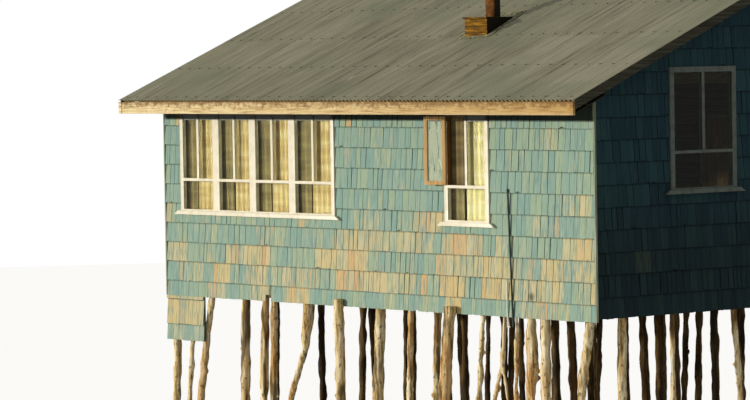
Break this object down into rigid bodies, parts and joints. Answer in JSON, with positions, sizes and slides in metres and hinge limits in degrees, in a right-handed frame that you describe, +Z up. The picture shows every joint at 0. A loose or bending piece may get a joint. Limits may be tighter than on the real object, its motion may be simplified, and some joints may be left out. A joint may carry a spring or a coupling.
{
  "type": "stilt house",
  "caption": "Shingled timber house on driven log piles, with a corrugated zinc roof, a long glazed window and an open casement.",
  "frame": {"origin": "Bottom centre of the whole house: level with the feet of the piles, under the middle of the roof.", "axes": "+X runs along the ridge towards the gable with the two windows, -Y is the long front wall with the window band, +Z is up."},
  "size_m": [9.352, 7.7922, 8.0882],
  "materials": {
    "log_wood": "peeled and weathered trunks",
    "sawn_timber": "rough sawn boards",
    "blue_shingles": "split shingles with worn turquoise paint",
    "deep_blue_shingles": "split shingles with deep blue paint",
    "raw_fascia": "bare planed board",
    "grey_board": "weathered board",
    "zinc_sheet": "weathered corrugated zinc",
    "white_joinery": "white gloss paint on timber",
    "bare_joinery": "unpainted orange brown timber",
    "window_glass": "plain window glass",
    "curtain": "cream lace",
    "rusty_pipe": "rusted steel tube",
    "grey_plastic": "dull plastic pipe",
    "white_plastic": "white plastic pipe"
  },
  "bodies": {
    "root": {"back_door": "deep_blue_shingles", "back_door_frame": "white_joinery", "back_fascia": "raw_fascia", "back_glass": "window_glass", "back_piles": "log_wood", "back_roof": "zinc_sheet", "back_shingles": "blue_shingles", "back_wall": "sawn_timber", "back_windows": "white_joinery", "band_window": "white_joinery", "chimney_cap": "rusty_pipe", "chimney_curb": "sawn_timber", "chimney_pipe": "rusty_pipe", "corner_battens": "blue_shingles", "corner_patch": "blue_shingles", "curtain_rods": "rusty_pipe", "drain_pipe": "white_plastic", "eave_soffits": "grey_board", "fender_piles": "log_wood", "floor": "sawn_timber", "floor_beams": "sawn_timber", "floor_joists": "sawn_timber", "front_curtains": "curtain", "front_fascia": "raw_fascia", "front_glass": "window_glass", "front_piles": "log_wood", "front_roof": "zinc_sheet", "front_shingles": "blue_shingles", "front_wall": "sawn_timber", "gable_glass": "window_glass", "gable_piles": "log_wood", "gable_windows": "white_joinery", "inner_piles": "log_wood", "left_bargeboards": "grey_board", "left_gable_shingles": "deep_blue_shingles", "left_gable_wall": "sawn_timber", "open_sash": "bare_joinery", "purlins": "sawn_timber", "rafters": "sawn_timber", "ridge_board": "sawn_timber", "ridge_cap": "zinc_sheet", "right_bargeboards": "grey_board", "right_gable_shingles": "deep_blue_shingles", "right_gable_wall": "sawn_timber", "rim_boards": "sawn_timber", "small_window": "white_joinery", "tie_beams": "sawn_timber", "waste_pipe": "grey_plastic"}
  },
  "joints": []
}
